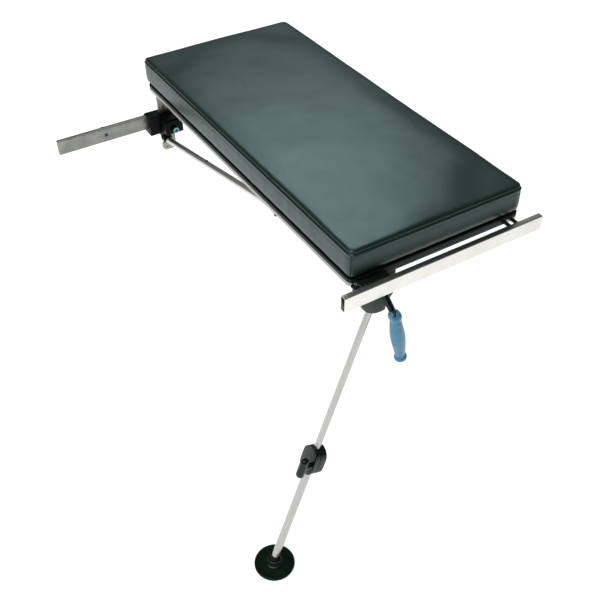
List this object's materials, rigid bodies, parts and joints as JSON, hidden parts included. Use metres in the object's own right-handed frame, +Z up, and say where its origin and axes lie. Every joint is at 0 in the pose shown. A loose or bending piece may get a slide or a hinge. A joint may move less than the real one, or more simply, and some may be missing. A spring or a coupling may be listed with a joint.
{
  "type": "padded operating-table arm board",
  "caption": "Padded arm board on a table-rail clamp and diagonal brace, with an end accessory rail and a lever-locked telescopic leg on a swivel foot.",
  "frame": {"origin": "midway between the table rail's two screw holes, on the back faces of its standoffs, which is the plane of the table's side", "axes": "+X outward from the table along the board, +Y along the table rail towards the far long side of the pad, +Z up"},
  "size_m": [0.7741, 0.523, 0.6449],
  "materials": {
    "rail_steel": "brushed, bright",
    "plated_steel": "polished",
    "satin_tube": "satin drawn tube",
    "black_casting": "semi-gloss black",
    "black_plate": "matt black",
    "bracket_paint": "satin dark grey-green",
    "black_board": "matt laminate edge",
    "black_moulding": "gloss moulded",
    "dark_green_moulding": "semi-gloss moulded",
    "blue_grip": "semi-gloss moulded",
    "pad_vinyl": "smooth coated fabric, dark green",
    "foam": "open-cell foam",
    "plywood": "birch ply",
    "tape": "hook-and-loop",
    "white_bush": "acetal",
    "brass": "turned",
    "rubber": "matt"
  },
  "bodies": {
    "table_rail": {"table_rail": "rail_steel", "rail_standoffs": "rail_steel"},
    "clamp": {"clamp_body": "black_casting"},
    "shoe": {"clamp_shoe": "brass"},
    "clamp_screw": {"clamp_screw": "plated_steel"},
    "board": {"blade": "rail_steel", "blade_bracket": "rail_steel", "blade_screws": "plated_steel", "brace_lug": "dark_green_moulding", "brace_tube": "plated_steel", "brace_eyes": "dark_green_moulding", "brace_bolts": "plated_steel", "brace_rivet": "black_plate", "brace_bracket": "black_plate", "front_strip": "rail_steel", "rear_strip": "rail_steel", "cross_bars": "black_plate", "support_board": "black_board", "board_screws": "plated_steel", "hook_tape": "tape", "end_rail": "rail_steel", "rail_sleeves": "black_plate", "rail_screws": "plated_steel", "leg_bracket": "bracket_paint", "leg_bracket_screws": "plated_steel"},
    "pad": {"pad_cover": "pad_vinyl", "pad_foam": "foam", "pad_base": "plywood", "loop_tape": "tape"},
    "leg": {"leg_head": "bracket_paint", "leg_rod": "satin_tube", "head_pin": "black_plate", "rod_slider": "white_bush"},
    "lever": {"pivot_screw": "black_plate", "lever_arm": "black_moulding", "lever_grip": "blue_grip", "grip_pin": "plated_steel"},
    "lower_leg": {"leg_tube": "satin_tube", "tube_clamp": "black_moulding", "tube_sleeve": "white_bush", "foot_stud": "black_plate", "knob_nut": "plated_steel"},
    "knob": {"knob_stud": "plated_steel", "t_knob": "black_moulding"},
    "foot": {"foot_hub": "black_moulding", "foot_disc": "dark_green_moulding", "foot_sole": "rubber"}
  },
  "joints": [
    {"name": "clamp_slide", "type": "slide", "parent": "table_rail", "child": "clamp", "axis": [0, 1, 0], "range_m": [-0.15, 0.05]},
    {"name": "shoe_slide", "type": "slide", "parent": "clamp", "child": "shoe", "axis": [1, 0, 0], "range_m": [0, 0.0025]},
    {"name": "clamp_screw_turn", "type": "hinge", "parent": "shoe", "child": "clamp_screw", "pos_m": [0.066, 0.04, -0.004], "axis": [1, 0, 0], "range_deg": [0, 720]},
    {"name": "height_slide", "type": "slide", "parent": "clamp", "child": "board", "axis": [0, 0, 1], "range_m": [-0.04, 0.002]},
    {"name": "pad_lift", "type": "slide", "parent": "board", "child": "pad", "axis": [0, 0, 1], "range_m": [0, 0.12]},
    {"name": "leg_swing", "type": "hinge", "parent": "board", "child": "leg", "pos_m": [0.7275, 0.0573, 0.058], "axis": [1, 0, 0], "range_deg": [-30, 105]},
    {"name": "lever_turn", "type": "hinge", "parent": "board", "child": "lever", "pos_m": [0.7275, 0.0573, 0.058], "axis": [1, 0, 0], "range_deg": [-60, 60]},
    {"name": "leg_telescope", "type": "slide", "parent": "leg", "child": "lower_leg", "axis": [0, -0.3322, -0.9432], "range_m": [-0.09, 0.07]},
    {"name": "knob_turn", "type": "hinge", "parent": "lower_leg", "child": "knob", "pos_m": [0.7385, -0.06426, -0.2586], "axis": [0, -0.9432, 0.3322], "range_deg": [-180, 180]},
    {"name": "foot_tilt", "type": "hinge", "parent": "lower_leg", "child": "foot", "pos_m": [0.7275, -0.13436, -0.48624], "axis": [1, 0, 0], "range_deg": [-55, 15]}
  ],
  "couplings": [
    {"joint": "shoe_slide", "follows": "clamp_screw_turn", "m_per_rad": 0.00019894}
  ]
}
